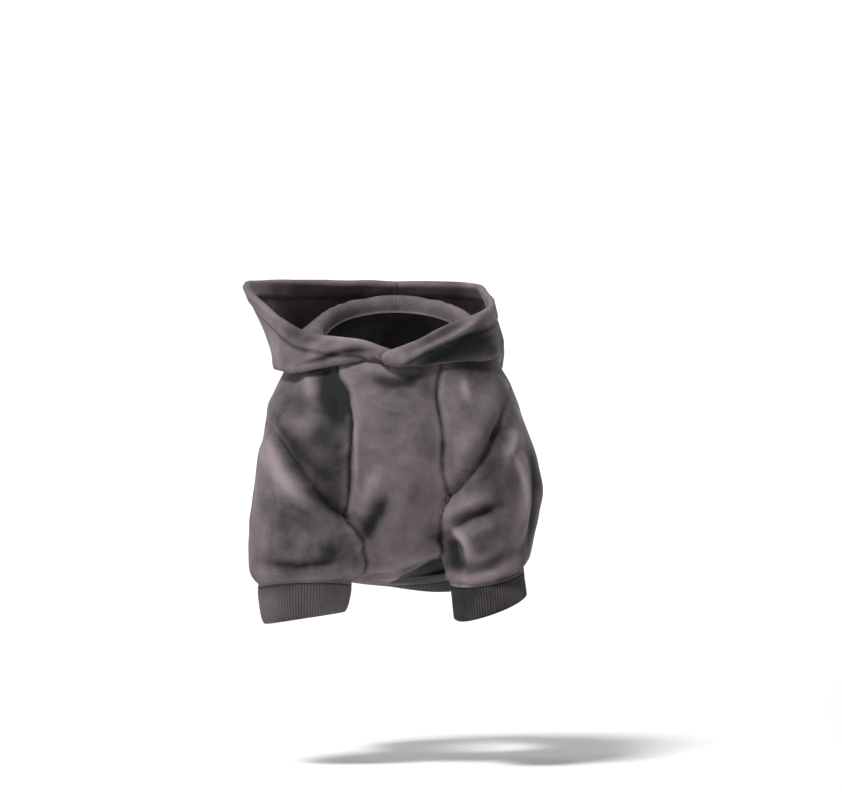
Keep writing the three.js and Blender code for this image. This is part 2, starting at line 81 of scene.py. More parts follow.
# Where the cloth is shaped finer than the solids
BAND_SKEW = 0.4  # how far the waistband's front stands out at the left and in at the right
HOOD_TAPER = 0.1  # share of a half's width over which its front end thins out
THIN_SHARE = 0.3  # share of a wall that is left where it thins out
FRONT_PINCH = 0.75  # how much of its height the upper half loses at its front end
FRONT_LIFT = 5.5  # how far above the neckline that end lies
HOOD_TUCK = 5  # how far the hood's seam edge runs down over the panels, away from the front
NECK_TAPE = 2.4  # how much thicker the hood is there, on its inside
NECK_TAPE_WIDTH = 7
HOOD_ACROSS = 190  # points from its front end to the middle of the back
HOOD_DOWN = 90

# Seams and rib
SEAM_ROUNDING = 9  # how far from a seam two sewn pieces start to swell into each other
SEAM_TUCK = 1.2  # how deep a sewn piece's edge goes under its neighbour
SEAM_DEPTH = 0.8
SEAM_WIDTH = 1.2
SEAM_PUFF = 0.35
STITCH_DEPTH = 0.35  # of the line that holds the hood's turned hem
MIDDLE_SEAM_DEPTH = 0.45
RIB_PITCH = 1.9
RIB_HEIGHT = 0.45
RIB_POINTS = 8  # round a band, for each rib
RIB_ROUNDNESS = 0.8
BAND_STEPS = 22
BAND_TUCK = 1.2  # how far a band runs under the plush that it is sewn to
BAND_SINK = 0.6
EDGE_SHARE = 0.1  # of a band's length, over which its free edge rounds off
SEWN_SHARE = 0.06  # and its sewn edge
WAIST_GIRTH = 330
LEFT_CUFF_GIRTH = 165
RIGHT_CUFF_GIRTH = 185

# A valley's slopes meet in a crease
CREASE_ROUNDING = 0.8
VALLEY_SPREAD = 0.75  # of its width

# Low, soft unevenness, as waves with a width and a height
TORSO_WAVES = [(34, 1.4), (13, 0.5)]
SLEEVE_WAVES = [(30, 1.5), (12, 0.6)]
HOOD_WAVES = [(26, 1.2), (11, 0.5)]
LEFT_PHASE = 5.0
RIGHT_PHASE = 11.0
HOOD_PHASE = 23

# The hollow under the chest's lowest fold, with painted shade in it, and its middle line as points (x,
# z)
HOLLOW = [(-1, -157), (14, -152.5), (34, -144), (48, -139)]
HOLLOW_WIDTH = 9.5
HOLLOW_DEPTH = 14
HOLLOW_STEEPNESS = 6
HOLLOW_END = 46  # x at which it ends, under the left sleeve
HOLLOW_FADE = 10
# The hollow's painted shade, and how far below its middle line that painted shade lies
HOLLOW_PAINTED_SHADE = -2.0
HOLLOW_PAINTED_SHADE_DROP = 2  # how far its dark lies below its middle line

# Gathers above the cuffs: their height, how many rows of a table before the cuff, and their reach
GATHER_HEIGHT = 0.3
GATHER_PLACE = 1.5
GATHER_REACH = 0.7

# The photograph's frame
FRAME_WIDTH = 842
FRAME_HEIGHT = 792
MM_PER_PIXEL = 0.6
MIDDLE_PIXEL = (395, 318.3)  # where the origin lies in the photograph
FLOOR_Z = -269


def table(columns, rows):
    return dict(zip(columns.split(), np.array(rows, float).T))


# The columns hold lengths as shares of the sizes above, and angles in degrees. The hood's rows
# in front of its sides and the left cuff's are this cloth's own, and the others the solids'.
TORSO = table(
    "back_y back_z chest_y chest_z wide keel",
    [
        (-0.065, 0.049, -0.397, -0.157, 0.77, 0.0),
        (0.0, 0.0, -0.44, -0.256, 0.88, 0.05),
        (0.095, -0.099, -0.478, -0.43, 0.965, 0.12),
        (0.181, -0.233, -0.47, -0.616, 1.0, 0.15),
        (0.259, -0.378, -0.405, -0.779, 1.0, 0.12),
        (0.336, -0.523, -0.31, -0.869, 0.975, 0.08),
        (0.401, -0.654, -0.203, -0.904, 0.95, 0.04),
        (0.448, -0.773, -0.108, -0.927, 0.912, 0.0),
    ],
)
LAST_TORSO = 7

SLEEVE_COLUMNS = "out y z wide deep pitch roll"
LEFT_SLEEVE = table(
    SLEEVE_COLUMNS,
    [
        (0.216, -0.231, -0.054, 0.833, 0.814, 24.7, 0),
        (0.352, -0.241, -0.174, 0.91, 1.0, 20, 0),
        (0.455, -0.259, -0.291, 0.94, 1.023, 15, 0),
        (0.534, -0.272, -0.442, 1.0, 1.0, 10, 0),
        (0.614, -0.284, -0.581, 0.97, 0.953, 6, -3),
        (0.631, -0.293, -0.703, 0.88, 0.9, 3, -7),
        (0.64, -0.297, -0.802, 0.75, 0.82, 3, -10),
        (0.63, -0.3, -0.855, 0.71, 0.76, 8, -11),
        (0.622, -0.3, -0.88, 0.63, 0.67, 10, -11),
        (0.625, -0.305, -0.897, 0.62, 0.66, 10, -11),
    ],
)
RIGHT_SLEEVE = table(
    SLEEVE_COLUMNS,
    [
        (0.25, -0.231, -0.054, 0.742, 0.68, 24.7, 0),
        (0.352, -0.241, -0.174, 0.91, 1.0, 20, 0),
        (0.455, -0.259, -0.302, 1.01, 1.023, 15, 0),
        (0.518, -0.272, -0.442, 0.975, 1.0, 10, 0),
        (0.572, -0.284, -0.581, 0.985, 0.953, 6, 2),
        (0.615, -0.293, -0.709, 0.955, 0.907, 3, 4),
        (0.602, -0.297, -0.826, 1.0, 0.86, -2, 4),
        (0.608, -0.302, -0.885, 0.95, 0.802, -6, 2),
        (0.612, -0.302, -0.915, 0.8, 0.685, -8, 2),
        (0.613, -0.3, -0.934, 0.79, 0.674, -8, 2),
    ],
)
LAST_SLEEVE = 9
LIP_ROWS = 2  # the rows over which a sleeve rolls in towards its cuff
LIP_STEPS = 18
RELAX_TIMES = 8

BAND_COLUMNS = "along draw"
WAISTBAND = table(BAND_COLUMNS, [(0, 0), (0.3, 0.02), (0.75, 0.08), (1, 0.1)])
RIGHT_CUFF = table(BAND_COLUMNS, [(0, 0.02), (0.3, 0.02), (0.75, 0.06), (1, 0.14)])
LEFT_CUFF = table(BAND_COLUMNS, [(0, 0.02), (0.3, 0.0), (0.75, -0.05), (1, -0.07)])
LAST_BAND = 3

HOOD_COLUMNS = "angle seat hug_out hug_up fall_out fall_down belly_out belly_up rim_out rim_up"
LEFT_HOOD = table(
    HOOD_COLUMNS,
    [
        (-10, 1.4, 0.04, 0.07, 0.045, -0.13, 0.045, 0.15, 0.04, 0.2),
        (-2, 1.4, 0.06, 0.07, 0.08, -0.05, 0.09, 0.16, 0.06, 0.3),
        (12, 1.4, 0.08, 0.05, 0.11, 0.0, 0.14, 0.16, 0.09, 0.46),
        (35, 0.7, 0.12, 0.07, 0.16, 0.03, 0.19, 0.12, 0.12, 0.68),
        (62, 0.3, 0.17, 0.0, 0.23, 0.16, 0.27, 0.02, 0.17, 0.7),
        (90, 0, 0.18, -0.06, 0.27, 0.3, 0.31, -0.12, 0.2, 0.62),
        (120, 0, 0.24, -0.15, 0.39, 0.58, 0.44, -0.4, 0.27, 0.58),
        (150, 0, 0.5, -0.3, 0.93, 1.06, 1.02, -0.65, 0.58, 0.55),
        (180, 0, 0.57, -0.34, 1.15, 1.2, 1.25, -0.75, 0.7, 0.5),
    ],
)
RIGHT_HOOD = table(
    HOOD_COLUMNS,
    [
        (-8, 0, 0.02, 0.07, 0.02, -0.04, 0.02, 0.1, 0.015, 0.17),
        (6, 0, 0.03, 0.08, 0.03, -0.06, 0.03, 0.15, 0.02, 0.3),
        (22, 0, 0.05, 0.07, 0.06, -0.02, 0.07, 0.15, 0.04, 0.4),
        (42, 0.3, 0.12, 0.02, 0.19, 0.12, 0.23, 0.0, 0.15, 0.38),
        (64, 0.3, 0.19, 0.0, 0.33, 0.34, 0.39, -0.13, 0.36, 0.44),
        (90, 0, 0.22, -0.06, 0.42, 0.48, 0.455, -0.22, 0.72, 0.95),
        (120, 0, 0.28, -0.16, 0.5, 0.64, 0.58, -0.45, 0.72, 0.8),
        (150, 0, 0.5, -0.3, 0.94, 1.06, 1.04, -0.65, 0.72, 0.6),
        (180, 0, 0.57, -0.34, 1.15, 1.2, 1.25, -0.75, 0.7, 0.5),
    ],
)
LAST_HOOD = 8

# Folds seen from the front. A row holds a fold's height (below 0 for a valley), its width, how
# much lighter it is painted (a painted highlight on ridges and lit sides, painted shade in creases,
# hollows and under the hood where below 0), and the points (x, z) of its line. A fold of height 0
# is only a stroke of painted light or shade.
RIGHT_SLEEVE_FOLDS = [
    (
        -7.0,
        4.5,
        -0.8,
        [(-78, -59), (-72, -71), (-64, -82), (-56, -92)]
        + [(-47, -103), (-36, -112), (-27, -118), (-14, -124)],
    ),
    (4.0, 6.5, -0.1, [(-73, -52), (-61, -69), (-50, -85), (-37, -101)]),
    (0, 4.5, -0.7, [(-74, -55), (-60, -74), (-47, -90), (-33, -105)]),
    (4.0, 5.0, 0.7, [(-80, -72), (-74, -84), (-68, -95), (-61, -103), (-52, -110)]),
    (0.7, 1.8, 0.7, [(-78, -68), (-71, -82), (-65, -94), (-57, -105)]),
    (1.4, 3.5, 0.6, [(-53, -32), (-51, -40), (-49, -50)]),
    (-3.6, 6.5, -2.0, [(-43, -29), (-36, -40), (-30, -62)]),
    (0, 8.0, -0.6, [(-44, -36), (-38, -52), (-31, -66)]),
    (0, 9.0, -0.8, [(-47, -58), (-38, -78), (-31, -96)]),
    (5.0, 4.5, -0.8, [(-26, -56), (-23, -84), (-25, -110)]),
    (0, 9.0, -0.45, [(-70, -38), (-60, -50), (-50, -58)]),
    (-3.2, 3.8, -0.8, [(-81, -145), (-60, -148), (-43, -146), (-27, -141)]),
    (0, 5.0, -0.7, [(-46, -139), (-34, -136)]),
    (2.0, 3.0, 0.2, [(-86, -152), (-60, -154), (-35, -152), (-23, -146)]),
    (3.0, 8.0, 0.1, [(-25, -121), (-21, -130), (-21, -139)]),
    (1.2, 7.0, -0.15, [(-64, -128), (-56, -134), (-48, -136)]),
    (0, 9.0, -0.5, [(-80, -108), (-66, -116), (-46, -122)]),
    (0, 9.0, -0.3, [(-36, -128), (-30, -140)]),
]
CHEST_FOLDS = [
    (-2.2, 3.5, -0.9, [(-16, -35), (-4, -38), (8, -37), (16, -33)]),
    (1.6, 4.0, 0.3, [(-23, -28), (-9, -30), (5, -29)]),
    (0, 6.0, -0.6, [(12, -38), (24, -45), (28, -62)]),
    (-4.5, 6.0, 0.0, [(-36, -42), (-32, -60), (-31, -84), (-31, -104)]),
    (1.5, 3.2, 0.0, [(-27, -40), (-21, -54), (-20, -84), (-21, -102)]),
    (0, 1.2, 0.5, [(-27, -48), (-23, -64), (-22, -84), (-22.5, -104)]),
    (-3.2, 5.5, -1.0, [(-24, -138), (-18, -130), (-11, -117), (-3, -102)]),
    (2.0, 5.0, 0.5, [(-21, -114), (-15, -104), (-10, -92)]),
    (0, 8.0, -0.25, [(0, -50), (-1, -70), (2, -88)]),
    (0, 7.0, 0.3, [(21, -78), (20, -104), (12, -130)]),
    (3.0, 3.2, 0.5, [(-24, -149), (-3, -147), (14, -142), (34, -133)]),
    (0, 2.8, -1.8, [(5, -160), (20, -158), (34, -155.5)]),
    (0, 5.0, -1.4, [(26, -126), (30, -134), (34, -142)]),
    (0.6, 0.9, 1.6, [(-14, -157.5), (4, -157), (17, -155), (33, -152)]),
]
LEFT_SLEEVE_FOLDS = [
    (-6.5, 4.4, -0.4, [(71, -45), (61, -67), (55, -80), (45, -92), (34, -103), (24, -112), (14, -120)]),
    (3.5, 7.0, -0.05, [(60, -45), (53, -62), (44, -77), (34, -89)]),
    (0, 5.5, -0.5, [(74, -50), (66, -70), (59, -86), (48, -99), (38, -107)]),
    (2.5, 2.8, 0.9, [(72, -64), (70, -74), (66, -86)]),
    (3.2, 3.0, 0.4, [(71, -74), (76, -90), (78, -106), (76, -121), (72, -132)]),
    (-2.6, 3.6, -0.9, [(80, -66), (84, -92), (83, -116), (78, -140)]),
    (0.5, 1.3, 0.8, [(66, -76), (72, -87), (77, -103), (77.5, -121), (72, -136)]),
    (-2.0, 9.0, -0.35, [(60, -92), (64, -115), (60, -138)]),
    (0, 9.0, -0.4, [(46, -126), (52, -142)]),
    (3.0, 4.0, 0.3, [(29, -122), (36, -116), (44, -112), (56, -106)]),
    (-4.0, 3.4, -1.0, [(32, -127), (41, -119), (52, -115), (64, -112)]),
    (3.0, 2.4, 0.9, [(32, -125), (39, -130), (44, -137), (46, -147)]),
    (-3.4, 4.0, -1.4, [(32, -130), (35, -140), (36, -152)]),
    (0.8, 2.6, 0.8, [(31, -154), (40, -156), (51, -155), (63, -150), (76, -142)]),
    (-1.6, 3.6, -0.6, [(33, -146), (45, -148), (57, -146), (70, -137)]),
    (1.4, 2.6, 0.7, [(40, -36), (45, -50)]),
    (0, 7.0, -0.7, [(29, -30), (45, -31), (62, -38)]),
]
RIGHT_HOOD_FOLDS = [
    (2.2, 3.2, 0.6, [(-50, -19), (-38, -13), (-28, -14), (-16, -17), (-8, -21)]),
    (-1.8, 5.5, -0.5, [(-66, -2), (-54, -9), (-42, -14), (-30, -16)]),
    (-2.2, 1.8, -0.9, [(-60, -29), (-44, -25), (-32, -21), (-12, -20)]),
    (1.0, 9.0, 0.4, [(-84, 5), (-77, -13), (-71, -27)]),
    (-1.5, 6.0, -0.2, [(-67, 4), (-64, -10), (-62, -20)]),
    (1.2, 3.0, 0.5, [(-66, -31), (-52, -28), (-42, -24)]),
]
LEFT_HOOD_FOLDS = [
    (2.6, 2.6, 0.9, [(6, -25), (20, -19), (34, -12), (44, -5), (53, 3)]),
    (0, 6.0, -0.45, [(10, -18), (30, -9), (44, 0)]),
    (1.2, 2.2, 0.5, [(-6, -20), (9, -13), (22, -8), (38, 1)]),
    (-2.4, 7.0, -1.5, [(12, -27), (30, -22), (44, -17), (64, -12)]),
    (1.0, 2.0, 1.0, [(14, -30), (30, -31), (48, -29), (65, -21)]),
]

# The same for folds seen from behind.
BACK_FOLDS = [
    (1.2, 9.0, 0.1, [(-30, -52), (-10, -58), (14, -56), (34, -48)]),
    (-1.4, 6.0, -0.2, [(-36, -68), (-8, -74), (20, -72), (40, -64)]),
    (1.6, 8.0, 0.2, [(-44, -98), (-16, -106), (12, -102), (36, -92)]),
    (-1.4, 6.0, -0.2, [(-34, -116), (-6, -121), (24, -116)]),
    (1.3, 6.0, 0.2, [(40, -104), (20, -126), (6, -140)]),
]


def smooth(share):
    share = np.clip(share, 0, 1)
    return share * share * (3 - 2 * share)


def unit(vectors):
    return vectors / np.maximum(np.linalg.norm(vectors, axis=-1, keepdims=True), 1e-9)


def rounded(distance, width):
    """0 at an edge and 1 from width on, along a quarter circle."""
    return np.sqrt(np.clip(1 - (np.maximum(width - distance, 0) / width) ** 2, 0, 1))


def bell(distance, width):
    return np.exp(-((distance / width) ** 2))


def row_at(rows, place):
    """Every column of a table at places between its rows, by a smooth curve.

    It runs on straight past the ends.
    """
    last = len(next(iter(rows.values()))) - 1
    start = np.clip(np.floor(place).astype(int), 0, last - 1)
    share = place - start
    inside = np.clip(share, 0, 1)
    cube = inside**3
    square = inside**2
    made = {}
    for name, column in rows.items():
        ends = [[2 * column[0] - column[1]], [2 * column[-1] - column[-2]]]
        longer = np.concatenate([ends[0], column, ends[1]])
        before, first, second, after = (longer[start + k] for k in range(4))
        turn_in = (second - before) / 2
        turn_out = (after - first) / 2
        made[name] = (
            first * (2 * cube - 3 * square + 1)
            + second * (3 * square - 2 * cube)
            + turn_in * (cube - 2 * square + inside)
            + turn_out * (cube - square)
            + (share - inside) * np.where(share < 0, turn_in, turn_out)
        )
    return made


def normal_at(surface, place, angle):
    step = 0.01
    along = surface(place + step, angle) - surface(place - step, angle)
    around = surface(place, angle + step) - surface(place, angle - step)
    return unit(np.cross(along, around))


def torso_section(place):
    row = row_at(TORSO, place)
    zero = np.zeros_like(row["wide"])
    back = np.stack([zero, row["back_y"] * TORSO_LENGTH, row["back_z"] * TORSO_HEIGHT], -1)
    chest = np.stack([zero, row["chest_y"] * TORSO_LENGTH, row["chest_z"] * TORSO_HEIGHT], -1)
    return back, chest, row["wide"] * CHEST_WIDTH / 2, row["keel"]


def torso(place, angle):
    back, chest, half_width, keel = torso_section(place)
    facing = np.cos(angle)
    point = (back + chest) / 2 + facing[..., None] * (chest - back) / 2
    point[..., 0] = np.sin(angle) * half_width * (1 - keel * facing)
    return point


def sleeve(sign, sections):
    def surface(place, angle):
        row = row_at(sections, place)
        pitch = np.radians(row["pitch"])
        roll = np.radians(row["roll"])
        side = np.sin(angle) * row["wide"] * SLEEVE_WIDTH / 2
        front = np.cos(angle) * row["deep"] * SLEEVE_DEPTH / 2
        return np.stack(
            [
                sign * row["out"] * SLEEVE_REACH + side * np.cos(roll),
                row["y"] * TORSO_LENGTH - front * np.cos(pitch),
                row["z"] * TORSO_HEIGHT - sign * side * np.sin(roll) - front * np.sin(pitch),
            ],
            -1,
        )

    return surface


def band(surface, end, rows, length, length_at, skew=0):
    """A knitted band that carries on from the end of a tube of cloth, drawn in from it.

    skew moves its front out at the left and in at the right, in shares of its length.
    """

    def knitted(place, angle):
        row = row_at(rows, place)
        there = np.full_like(place, end)
        seam = surface(there, angle)
        onward = unit(seam - surface(there - 0.02, angle))
        run = SEAM_GAP + row["along"] * length * length_at(angle)
        leaning = skew * row["along"] * np.sin(angle) * np.maximum(np.cos(angle), 0)
        draw = (row["draw"] - leaning) * length
        return seam + onward * run[..., None] - normal_at(surface, there, angle) * draw[..., None]

    return knitted


def line_through(points, steps):
    """Smooth curves through lists of points, shape (points, curves, 3), in even steps along each."""
    first = 2 * points[:1] - points[1:2]
    last = 2 * points[-1:] - points[-2:-1]
    points = np.concatenate([first, points, last])
    gaps = np.sqrt(np.linalg.norm(np.diff(points, axis=0), axis=-1, keepdims=True))
    gaps = np.maximum(gaps, 1e-3)
    fine = []
    for k in range(1, len(points) - 2):
        p0, p1, p2, p3 = points[k - 1 : k + 3]
        g0, g1, g2 = gaps[k - 1 : k + 2]
        leave = g1 * ((p1 - p0) / g0 - (p2 - p0) / (g0 + g1) + (p2 - p1) / g1)
        arrive = g1 * ((p2 - p1) / g1 - (p3 - p1) / (g1 + g2) + (p3 - p2) / g2)
        for share in np.linspace(0, 1, 12, endpoint=False):
            cube = share**3
            square = share**2
            fine.append(
                p1 * (2 * cube - 3 * square + 1)
                + p2 * (3 * square - 2 * cube)
                + leave * (cube - 2 * square + share)
                + arrive * (cube - square)
            )
    fine.append(points[-2])
    fine = np.array(fine)
    lengths = np.linalg.norm(np.diff(fine, axis=0), axis=-1)
    along = np.concatenate([np.zeros((1, lengths.shape[1])), np.cumsum(lengths, 0)])
    made = np.empty((steps + 1, fine.shape[1], 3))
    for c in range(fine.shape[1]):
        wanted = np.linspace(0, along[-1, c], steps + 1)
        for axis in range(3):
            made[:, c, axis] = np.interp(wanted, along[:, c], fine[:, c, axis])
    return made


def away_from_front(angle):
    """0 along the neckline's front, 1 along its sides and back."""
    return smooth((angle - 40) / 30)


def hood_profiles(sign, rows, columns, steps):
    """The hood's middle layer, shape (columns, steps + 1, 3), from the neckline seam to the rim."""
    place = np.linspace(0, LAST_HOOD, columns)
    row = row_at(rows, place)
    angle = sign * np.radians(row["angle"])
    neck_back, neck_chest, _, _ = torso_section(np.zeros(1))
    middle = (neck_back + neck_chest) / 2
    forward = unit(neck_chest - neck_back)
    up = np.stack([np.zeros(1), forward[..., 2], -forward[..., 1]], -1)
    foot = torso(np.zeros_like(place), angle)
    seat = PLUSH_WALL / 2 + row["seat"] * (PLUSH_WALL + SEAM_GAP)
    foot = foot + unit(foot - middle) * seat[:, None] + up * SEAM_GAP
    outwards = foot - middle
    outwards[:, 2] = 0
    outwards = unit(outwards)

    def at(out, rise):
        point = foot + outwards * (out * HOOD_SPREAD)[:, None]
        point[:, 2] += rise
        return point

    def height(share):
        return np.where(share < 0, share * HOOD_HANG, share * HOOD_RISE)

    points = np.stack(
        [
            foot - up * (HOOD_TUCK * away_from_front(row["angle"]))[:, None],
            foot + (up + outwards) * SEAM_RISE,
            at(row["hug_out"], height(row["hug_up"])),
            at(row["fall_out"], -row["fall_down"] * HOOD_HANG),
            at(row["belly_out"], height(row["belly_up"])),
            at(row["rim_out"], row["rim_up"] * HOOD_RISE),
        ]
    )
    return line_through(points, steps).transpose(1, 0, 2)


def fold_line(points):
    """A smooth line through a fold's points, as (x, z) in short steps."""
    flat = np.array([(x, 0, z) for x, z in points], float)
    return line_through(flat[:, None, :], 6 * len(points))[:, 0][:, [0, 2]]


def beside_line(points, line):
    """How far points are from a smooth line, seen from the front, and at which share of the line."""
    here = points[..., [0, 2]]
    line = fold_line(line)
    nearest = np.full(points.shape[:-1], 1e9)
    share = np.zeros(nearest.shape)
    for k, (start, end) in enumerate(zip(line[:-1], line[1:])):
        run = end - start
        part = np.clip(((here - start) @ run) / (run @ run), 0, 1)
        distance = np.linalg.norm(here - start - part[..., None] * run, axis=-1)
        closer = distance < nearest
        nearest = np.where(closer, distance, nearest)
        share = np.where(closer, (k + part) / (len(line) - 1), share)
    return nearest, share


def belly_hollow(points, normals):
    """How far the cloth steps back under the chest's lowest fold, and how much painted shade darkens it
    there.

    The hollow is steep at its edge, and wider and deeper towards the left sleeve.
    """
    seen = smooth((0.2 - normals[..., 1]) / 0.4) * smooth((HOLLOW_END - points[..., 0]) / HOLLOW_FADE)
    nearest, share = beside_line(points, HOLLOW)
    step = np.exp(-((nearest / (0.5 + HOLLOW_WIDTH * share)) ** HOLLOW_STEEPNESS)) * smooth(share / 0.6)
    # painted shade in the hollow, a little below its middle line
    nearest, share = beside_line(points + np.array([0, 0, HOLLOW_PAINTED_SHADE_DROP]), HOLLOW)
    shade = np.exp(-((nearest / (1 + HOLLOW_WIDTH * share)) ** HOLLOW_STEEPNESS))
    return HOLLOW_DEPTH * seen * step, HOLLOW_PAINTED_SHADE * seen * shade


def folded(points, normals, folds, facing):
    """How far folds push points along their normals and how much painted light and shade they add.

    facing is -1 for folds seen from the front and 1 for folds seen from behind.
    """
    weight = smooth((facing * normals[..., 1] + 0.15) / 0.5)
    push = np.zeros(points.shape[:-1])
    tone = np.zeros(points.shape[:-1])
    for depth, width, painted_lightness, line in folds:
        nearest, share = beside_line(points, line)
        taper = smooth(share / 0.3) * smooth((1 - share) / 0.3) * 0.75 + 0.25
        shape = weight * taper * bell(nearest, width)
        if depth < 0:
            sharp = np.hypot(nearest, CREASE_ROUNDING) - CREASE_ROUNDING
            push += depth * weight * taper * np.exp(-sharp / (VALLEY_SPREAD * width))
        else:
            push += depth * shape
        # painted highlight along ridges and lit sides, painted shade along creases and shaded zones
        tone += painted_lightness * shape
    return push, tone


def crumpled(points, waves):
    """Low, soft unevenness, the same each run."""
    made = np.zeros(points.shape[:-1])
    for width, height in waves:
        heights = [noise.noise(Vector(point)) for point in points.reshape(-1, 3) / width]
        made += height * np.array(heights).reshape(made.shape)
    return made


def grid_normals(points, closed):
    """Normals of a grid whose first axis runs down the cloth and whose second runs round it."""
    down = np.gradient(points, axis=0)
    if closed:
        around = np.roll(points, -1, 1) - np.roll(points, 1, 1)
    else:
        around = np.gradient(points, axis=1)
    return unit(np.cross(down, around))


def grid_faces(rows, columns, closed):
    across = columns if closed else columns - 1
    i, j = np.meshgrid(np.arange(rows - 1), np.arange(across), indexing="ij")
    next_j = (j + 1) % columns
    faces = np.stack(
        [i * columns + j, (i + 1) * columns + j, (i + 1) * columns + next_j, i * columns + next_j], -1
    )
    return faces.reshape(-1, 4)


def even_places(surface, last, step):
    """Places along a surface, about one step apart on average."""
    fine = np.linspace(0, last, 40 * last)
    around = np.linspace(0, 2 * math.pi, 8, endpoint=False)
    points = surface(*np.meshgrid(fine, around, indexing="ij"))
    lengths = np.linalg.norm(np.diff(points, axis=0), axis=-1).mean(1)
    along = np.concatenate([[0], np.cumsum(lengths)])
    count = int(round(along[-1] / step)) + 1
    return np.interp(np.linspace(0, along[-1], count), along, fine)


def cloth_grid(surface, places, angles, sculpt):
    """A grid of points on a surface's outer side, sculpted, with its tones."""
    place, angle = np.meshgrid(places, angles, indexing="ij")
    normals = normal_at(surface, place, angle)
    points = surface(place, angle) + normals * PLUSH_WALL
    moved, tone = sculpt(points, normals, place, angle)
    return points + moved, tone


def relaxed(grid, weight):
    """A grid closed round its columns, evened out where weight (one value a row) is above 0."""
    for _ in range(RELAX_TIMES):
        around = (np.roll(grid, 1, 1) + np.roll(grid, -1, 1)) / 2
        along = (grid[:-2] + grid[2:]) / 2
        share = weight[1:-1, None, None] / 2
        middle = grid[1:-1] * (1 - share) + (around[1:-1] + along) / 2 * share
        grid = np.concatenate([grid[:1], middle, grid[-1:]])
    return grid


class Body:
    """A closed surface that other cloth lies against."""

    def __init__(self, points, faces):
        self.tree = BVHTree.FromPolygons(points.tolist(), faces.tolist())

    def heights(self, points):
        """How far points lie outside the surface (below 0 inside) and its normals there."""
        height = np.empty(len(points))
        normals = np.empty((len(points), 3))
        for k, point in enumerate(points):
            nearest, normal, _, distance = self.tree.find_nearest(Vector(point))
            normals[k] = normal
            height[k] = math.copysign(distance, (Vector(point) - nearest).dot(normal))
        return height, normals


def closed_body(points):
    """The body of a grid that is closed round its columns, with both ends closed."""
    rows, columns = points.shape[:2]
    flat = np.concatenate([points.reshape(-1, 3), points[:1].mean(1), points[-1:].mean(1)])
    top = rows * columns
    faces = [tuple(face) for face in grid_faces(rows, columns, True)]
    for j in range(columns):
        next_j = (j + 1) % columns
        faces.append((top, j, next_j))
        faces.append((top + 1, top - columns + next_j, top - columns + j))
    return Body(flat, np.array(faces, dtype=object))


def swell_into(points, normals, height, other_normals):
    """Rounds the valley between two pieces: points near the other one move out to a shared curve.

    Points that lie inside the other piece sink back under it.
    """
    share = np.clip(1 - height / SEAM_ROUNDING, 0, 1)
    lift = np.clip(SEAM_ROUNDING / 4 * share**2 + np.minimum(height, 0) / 2, 0, None)
    facing = share * np.sum(normals * other_normals, -1)
    direction = normals + share[:, None] * other_normals
    return points + direction * (lift / np.maximum(1 + facing, 0.5))[:, None]


def cuttable(points, faces, tone, height):
    """A mesh whose points know how high they lie over the line where it is to be cut."""
    bm = bmesh.new()
    height_layer = bm.verts.layers.float.new("height")
    tone_layer = bm.verts.layers.float.new("tone")
    verts = []
    for point, above, light in zip(points, height, tone):
        vert = bm.verts.new(point)
        vert[height_layer] = above
        vert[tone_layer] = light
        verts.append(vert)
    for face in faces:
        bm.faces.new([verts[k] for k in face])
    return bm


def moved_to_cut(bm, height_layer):
    """Moves the points that lie near the cut onto it, so that no face gets too thin."""
    near_end = 0.25
    for edge in bm.edges:
        low, high = sorted(edge.verts, key=lambda vert: vert[height_layer])
        if low[height_layer] < 0 < high[height_layer]:
            share = -low[height_layer] / (high[height_layer] - low[height_layer])
            if share < near_end or share > 1 - near_end:
                moved = low if share < near_end else high
                moved.co = low.co.lerp(high.co, share)
                moved[height_layer] = 0


def split_at_cut(bm, height_layer, tone_layer):
    for edge in list(bm.edges):
        start, end = edge.verts
        if start[height_layer] * end[height_layer] < 0:
            share = start[height_layer] / (start[height_layer] - end[height_layer])
            light = start[tone_layer] + share * (end[tone_layer] - start[tone_layer])
            _, vert = bmesh.utils.edge_split(edge, start, share)
            vert[height_layer] = 0
            vert[tone_layer] = light
    for face in list(bm.faces):
        levels = [vert[height_layer] for vert in face.verts]
        if min(levels) < 0 < max(levels):
            on_line = [vert for vert in face.verts if vert[height_layer] == 0]
            if len(on_line) == 2:
                bmesh.utils.face_split(face, on_line[0], on_line[1])


def clipped(points, faces, tone, height):
    """Cuts a mesh along the line where height is 0 and keeps what lies above it."""
    bm = cuttable(points, faces, tone, height)
    height_layer = bm.verts.layers.float["height"]
    moved_to_cut(bm, height_layer)
    split_at_cut(bm, height_layer, bm.verts.layers.float["tone"])
    sunk = [face for face in bm.faces if max(vert[height_layer] for vert in face.verts) <= 0]
    bmesh.ops.delete(bm, geom=sunk, context="FACES")
    crumbs = [face for face in bm.faces if min(vert[height_layer] for vert in face.verts) < 0]
    bmesh.ops.delete(bm, geom=crumbs, context="FACES")
    loose = [vert for vert in bm.verts if not vert.link_faces]
    bmesh.ops.delete(bm, geom=loose, context="VERTS")
    return bm


def seam_points(points, height, closed):
    """Points along a grid's seams: where its height passes 0, and its own sides where they show."""
    made = []
    pairs = [(points[:-1], points[1:], height[:-1], height[1:])]
    pairs.append((points[:, :-1], points[:, 1:], height[:, :-1], height[:, 1:]))
    if closed:
        pairs.append((points[:, -1:], points[:, :1], height[:, -1:], height[:, :1]))
    else:
        made += [points[:, side][height[:, side] > 0] for side in (0, -1)]
    for start, end, low, high in pairs:
        crossed = low * high < 0
        share = (low[crossed] / (low[crossed] - high[crossed]))[:, None]
        made.append(start[crossed] * (1 - share) + end[crossed] * share)
    return np.concatenate(made)


def distances(points, line):
    """How far points lie from the nearest point of a line."""
    tree = kdtree.KDTree(len(line))
    for k, point in enumerate(line):
        tree.insert(point, k)
    tree.balance()
    return np.array([tree.find(point)[2] for point in points])


